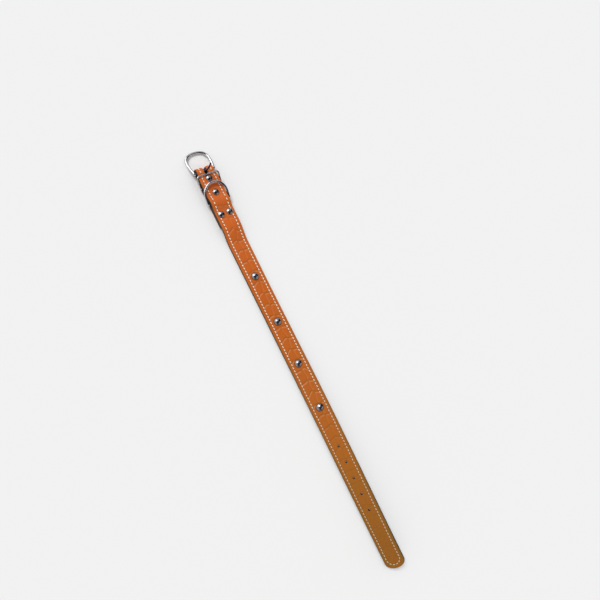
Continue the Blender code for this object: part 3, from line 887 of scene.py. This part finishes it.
def leatherMaterial():
    look = leatherLook
    paint = Paint("embossed_orange_leather")
    along = paint.node("ShaderNodeSeparateXYZ", sockets={"Vector": paint.place()}, out="X")
    share = (along + strap["middle"]) * (1 / strap["length"])
    # painted shade: the ramp darkens the leather towards the tip, as if less light reached the free end
    stops = [(place, linear(*tone)) for place, tone in look["stops"]]
    tone = paint.node("ShaderNodeValToRGB", {"stops": stops}, {"Fac": share})
    cloud = paint.noise(look["cloud"], 3.0)
    speck = paint.noise(look["speck"], 5.0, 0.6)
    grain = paint.cells(look["grain"])
    crease = paint.carried("crease")
    lip = paint.carried("lip")
    waver = paint.noise(look["waver"], 3.0)
    # margin carries the black edge paint and the painted margin shade
    margin = paint.carried("edgePaint")
    edge = paint.ranged(margin + (waver - 0.5) * 0.2, 0.52, 0.72)
    paintedMarginShade = paint.ranged(margin, 0.0, 0.42) * paint.ranged(share, 0.2, 0.75, 0.12, 0.75)
    tone = paint.blend(paint.ranged(cloud, 0.35, 0.7, 0.0, 0.22), tone, linear(*look["cloudTone"]))
    tone = paint.blend(paint.ranged(speck, 0.4, 0.75, 0.0, 0.14), tone, linear(*look["speckTone"]))
    # painted highlight on the lip of each scale's front, as if lit from the upper left
    tone = paint.blend(lip * 0.5, tone, linear(*look["lipPaintedHighlightTone"]))
    # painted shade in the grooves, along the seam, in the needle holes and round the holes, caps and slot
    tone = paint.blend(crease * 0.75, tone, linear(*look["paintedShadeTone"]))
    # painted shade on the margins, stronger towards the free end, where the strap's edge rolls away from the
    # light
    tone = paint.blend(paintedMarginShade, tone, linear(*look["paintedMarginShadeTone"]))
    nearEdge, farEdge = (linear(*tone) for tone in look["edgeTones"])
    tone = paint.blend(edge, tone, paint.blend(paint.ranged(share, 0.6, 0.85), nearEdge, farEdge))
    shine = 0.46 + (cloud - 0.5) * 0.14 + (speck - 0.5) * 0.16 + crease * 0.2 + edge * 0.1
    height = grain * 0.45 + speck * 0.55
    paint.surface(Base_Color=tone, Roughness=shine, Normal=paint.bump(height, look["bump"], 0.8))
    paint.surface(Specular_IOR_Level=0.22)
    return paint.material


coreLook = {"fibre": 0.0006, "tones": ((18, 16, 13), (52, 45, 35)), "bump": 0.0002}


# black of the cut core, also standing in as painted shade on the walls of the punched holes and the prong's
# slot
def coreMaterial():
    look = coreLook
    paint = Paint("black_cut_edge_and_shade")
    fibre = paint.noise(look["fibre"], 6.0, 0.7)
    tone = paint.blend(fibre, *(linear(*tone) for tone in look["tones"]))
    paint.surface(Base_Color=tone, Roughness=0.7 + fibre * 0.2, Normal=paint.bump(fibre, look["bump"], 0.7))
    return paint.material


liningLook = {
    "fibre": 0.0007, "stretch": (1.0, 0.35, 0.35), "cloud": 0.018, "dust": 0.0016, "bump": 0.00025,
    "tones": ((16, 15, 13), (48, 44, 37)), "cloudTone": (60, 54, 44), "dustTone": (120, 112, 98),
}


def liningMaterial():
    look = liningLook
    paint = Paint("black_lining_felt")
    fibre = paint.noise(look["fibre"], 7.0, 0.72, paint.stretched(look["stretch"]))
    cloud = paint.noise(look["cloud"], 3.0)
    dust = paint.ranged(paint.noise(look["dust"], 6.0, 0.75), 0.66, 0.74)
    tone = paint.blend(fibre, *(linear(*tone) for tone in look["tones"]))
    tone = paint.blend(cloud * 0.25, tone, linear(*look["cloudTone"]))
    tone = paint.blend(dust * 0.25, tone, linear(*look["dustTone"]))
    paint.surface(Base_Color=tone, Roughness=0.82 - cloud * 0.12, Normal=paint.bump(fibre, look["bump"], 0.8))
    return paint.material


# the thread is darker towards the free end
threadLook = {
    "fibre": 0.00022, "soil": 0.03, "bump": 0.00008, "farFrom": -0.1, "farTo": 0.2,
    "tones": ((232, 212, 178), (255, 247, 228)), "soilTone": (214, 184, 142), "farTone": (172, 146, 106),
}


def threadMaterial():
    look = threadLook
    paint = Paint("cream_thread")
    fibre = paint.noise(look["fibre"], 4.0, 0.6)
    soil = paint.noise(look["soil"], 3.0)
    along = paint.node("ShaderNodeSeparateXYZ", sockets={"Vector": paint.place()}, out="X")
    tone = paint.blend(fibre, *(linear(*tone) for tone in look["tones"]))
    tone = paint.blend(paint.ranged(soil, 0.45, 0.75, 0.0, 0.3), tone, linear(*look["soilTone"]))
    far = paint.ranged(along, look["farFrom"], look["farTo"], 0.0, 0.75)
    tone = paint.blend(far, tone, linear(*look["farTone"]))
    paint.surface(Base_Color=tone, Roughness=0.62 + fibre * 0.2, Normal=paint.bump(fibre, look["bump"], 0.7))
    return paint.material


# fine polishing lines, haze and darker spots, the same on every metal
metalLook = {
    "lines": 0.00035, "stretch": (0.12, 1.0, 1.0), "haze": 0.004, "spots": 0.0012, "spotDark": 0.45,
    "bump": 0.00002, "scratch": 0.35,
}
metals = {
    "chrome": ("bright_wire_plate", (176, 176, 180), (214, 214, 216), 0.10),
    "nickel": ("dark_nickel_dome", (128, 128, 134), (176, 176, 180), 0.20),
    "blued": ("blued_prong_steel", (38, 46, 78), (66, 76, 112), 0.24),
}


def metalMaterial(name, darkTone, lightTone, rough):
    look = metalLook
    dark, light = linear(*darkTone), linear(*lightTone)
    paint = Paint(name)
    lines = paint.noise(look["lines"], 3.0, 0.5, paint.stretched(look["stretch"]))
    haze = paint.noise(look["haze"], 4.0)
    spots = paint.ranged(paint.noise(look["spots"], 5.0, 0.7), 0.62, 0.78)
    tone = paint.blend(haze, dark, light)
    tone = paint.blend(spots * 0.25, tone, tuple(c * look["spotDark"] for c in dark))
    shine = rough + paint.ranged(haze, 0.4, 0.8, 0.0, 0.09)
    shine = shine + paint.ranged(lines, 0.55, 0.8, 0.0, 0.10) + spots * 0.12
    bump = paint.bump(lines, look["bump"], look["scratch"])
    paint.surface(Base_Color=tone, Roughness=shine, Metallic=1.0, Normal=bump)
    return paint.material


leather = leatherMaterial()
core = coreMaterial()
felt = liningMaterial()
thread = threadMaterial()
chrome, nickel, blued = (metalMaterial(*look) for look in metals.values())
print("materials ready")

makeCover(leather, core)
print("cover embossed and punched")
makeLining(felt, core)
print("lining laid")
makeStitches("seam_stitches", topStitches, ply, 1, thread, capPlaces())
makeStitches("seam_stitches_under", underStitches, seam["underSink"], -1, thread)
print("stitches sewn")
makeLoop("buckle_wire", "buckle_frame", "frame", loops["frame"], frameOutline, chrome)
makeLoop("keeper_wire", "keeper_loop", "keeper", loops["keeper"], keeperOutline, chrome)
makeLoop("d_ring_wire", "d_ring", "ring", loops["ring"], ringOutline, chrome)
makeProng(blued)
makeRivets(nickel)
makeStuds(nickel)
print("metal fitted")

# pale floor, soft light from the upper left of the picture, dark cards for the metal to mirror
studio = {
    "floor": 12.0, "floorTone": 0.845, "sky": 0.62, "sun": 1.75, "sunSpread": math.radians(20),
    "sunFrom": (-0.72, -0.34, 0.95),
}
# cards that only the metal mirrors: where, how wide, tone, glow
cards = {
    "softbox_left": ((-0.85, -0.38, 0.50), 1.0, (1.0, 1.0, 1.0), 1.5),
    "dark_card_above": ((0.15, -0.15, 1.25), 1.9, (0.02, 0.02, 0.022), 0.0),
    "dark_card_right": ((-0.2, 1.1, 0.55), 1.3, (0.01, 0.01, 0.012), 0.0),
    "dark_card_near": ((0.95, -0.35, 0.35), 1.0, (0.12, 0.14, 0.20), 0.0),
}


def square(name, half, paint):
    mesh = bpy.data.meshes.new(name)
    corners = [(-half, -half, 0), (half, -half, 0), (half, half, 0), (-half, half, 0)]
    mesh.from_pydata(corners, [], [(0, 1, 2, 3)])
    mesh.materials.append(paint.material)
    return linked(name, mesh)


def makeFloor():
    paint = Paint("pale_floor")
    paint.surface(Base_Color=(studio["floorTone"],) * 3, Roughness=0.9, Specular_IOR_Level=0.0)
    floor = square("floor", studio["floor"], paint)


def makeLights():
    world = bpy.data.worlds.new("studio")
    world.use_nodes = True
    sky = world.node_tree.nodes["Background"].inputs
    sky["Color"].default_value = (1, 1, 1, 1)
    sky["Strength"].default_value = studio["sky"]
    bpy.context.scene.world = world
    lamp = bpy.data.lights.new("key", "SUN")
    lamp.energy = studio["sun"]
    lamp.angle = studio["sunSpread"]
    key = linked("key", lamp)
    key.rotation_euler = Vector(studio["sunFrom"]).to_track_quat("Z", "Y").to_euler()


def makeCard(name, where, size, tone, glow):
    paint = Paint(name)
    paint.surface(Base_Color=tone, Roughness=1.0, Specular_IOR_Level=0.0)
    paint.surface(Emission_Color=tone, Emission_Strength=glow)
    card = square(name, size / 2, paint)
    card.location = where
    card.rotation_euler = (-Vector(where)).to_track_quat("Z", "Y").to_euler()
    card.visible_camera = False
    card.visible_diffuse = False
    card.visible_shadow = False


# camera fitted to the studs, holes and outline; image frame 600 x 600
shot = {
    "tilt": math.radians(26), "roll": math.radians(26.324), "pitch": math.radians(-0.555), "focal": 521.41,
    "pixels": 600, "sensor": 36.0, "distance": 0.65, "target": (-0.06091, 0.04029, 0.003),
    "clip": 0.01,
}


def makeCamera():
    across = Vector((0, math.cos(shot["tilt"]), math.sin(shot["tilt"])))
    forward = Vector((0, math.sin(shot["tilt"]), -math.cos(shot["tilt"])))
    along = Vector((1, 0, 0))
    alongTurned = along * math.cos(shot["pitch"]) + forward * math.sin(shot["pitch"])
    forwardTurned = forward * math.cos(shot["pitch"]) - along * math.sin(shot["pitch"])
    right = math.sin(shot["roll"]) * alongTurned + math.cos(shot["roll"]) * across
    up = -math.cos(shot["roll"]) * alongTurned + math.sin(shot["roll"]) * across
    where = Vector(shot["target"]) - forwardTurned * shot["distance"]
    lens = bpy.data.cameras.new("camera")
    lens.sensor_width = shot["sensor"]
    lens.lens = shot["focal"] / shot["pixels"] * shot["sensor"]
    lens.clip_start = shot["clip"]
    camera = linked("camera", lens)
    matrix = Matrix((right, up, -forwardTurned)).transposed().to_4x4()
    camera.matrix_world = Matrix.Translation(where) @ matrix
    bpy.context.scene.camera = camera


makeFloor()
makeLights()
for name, card in cards.items():
    makeCard(name, *card)
makeCamera()
bpy.context.scene.view_settings.view_transform = "Standard"
print("studio set")
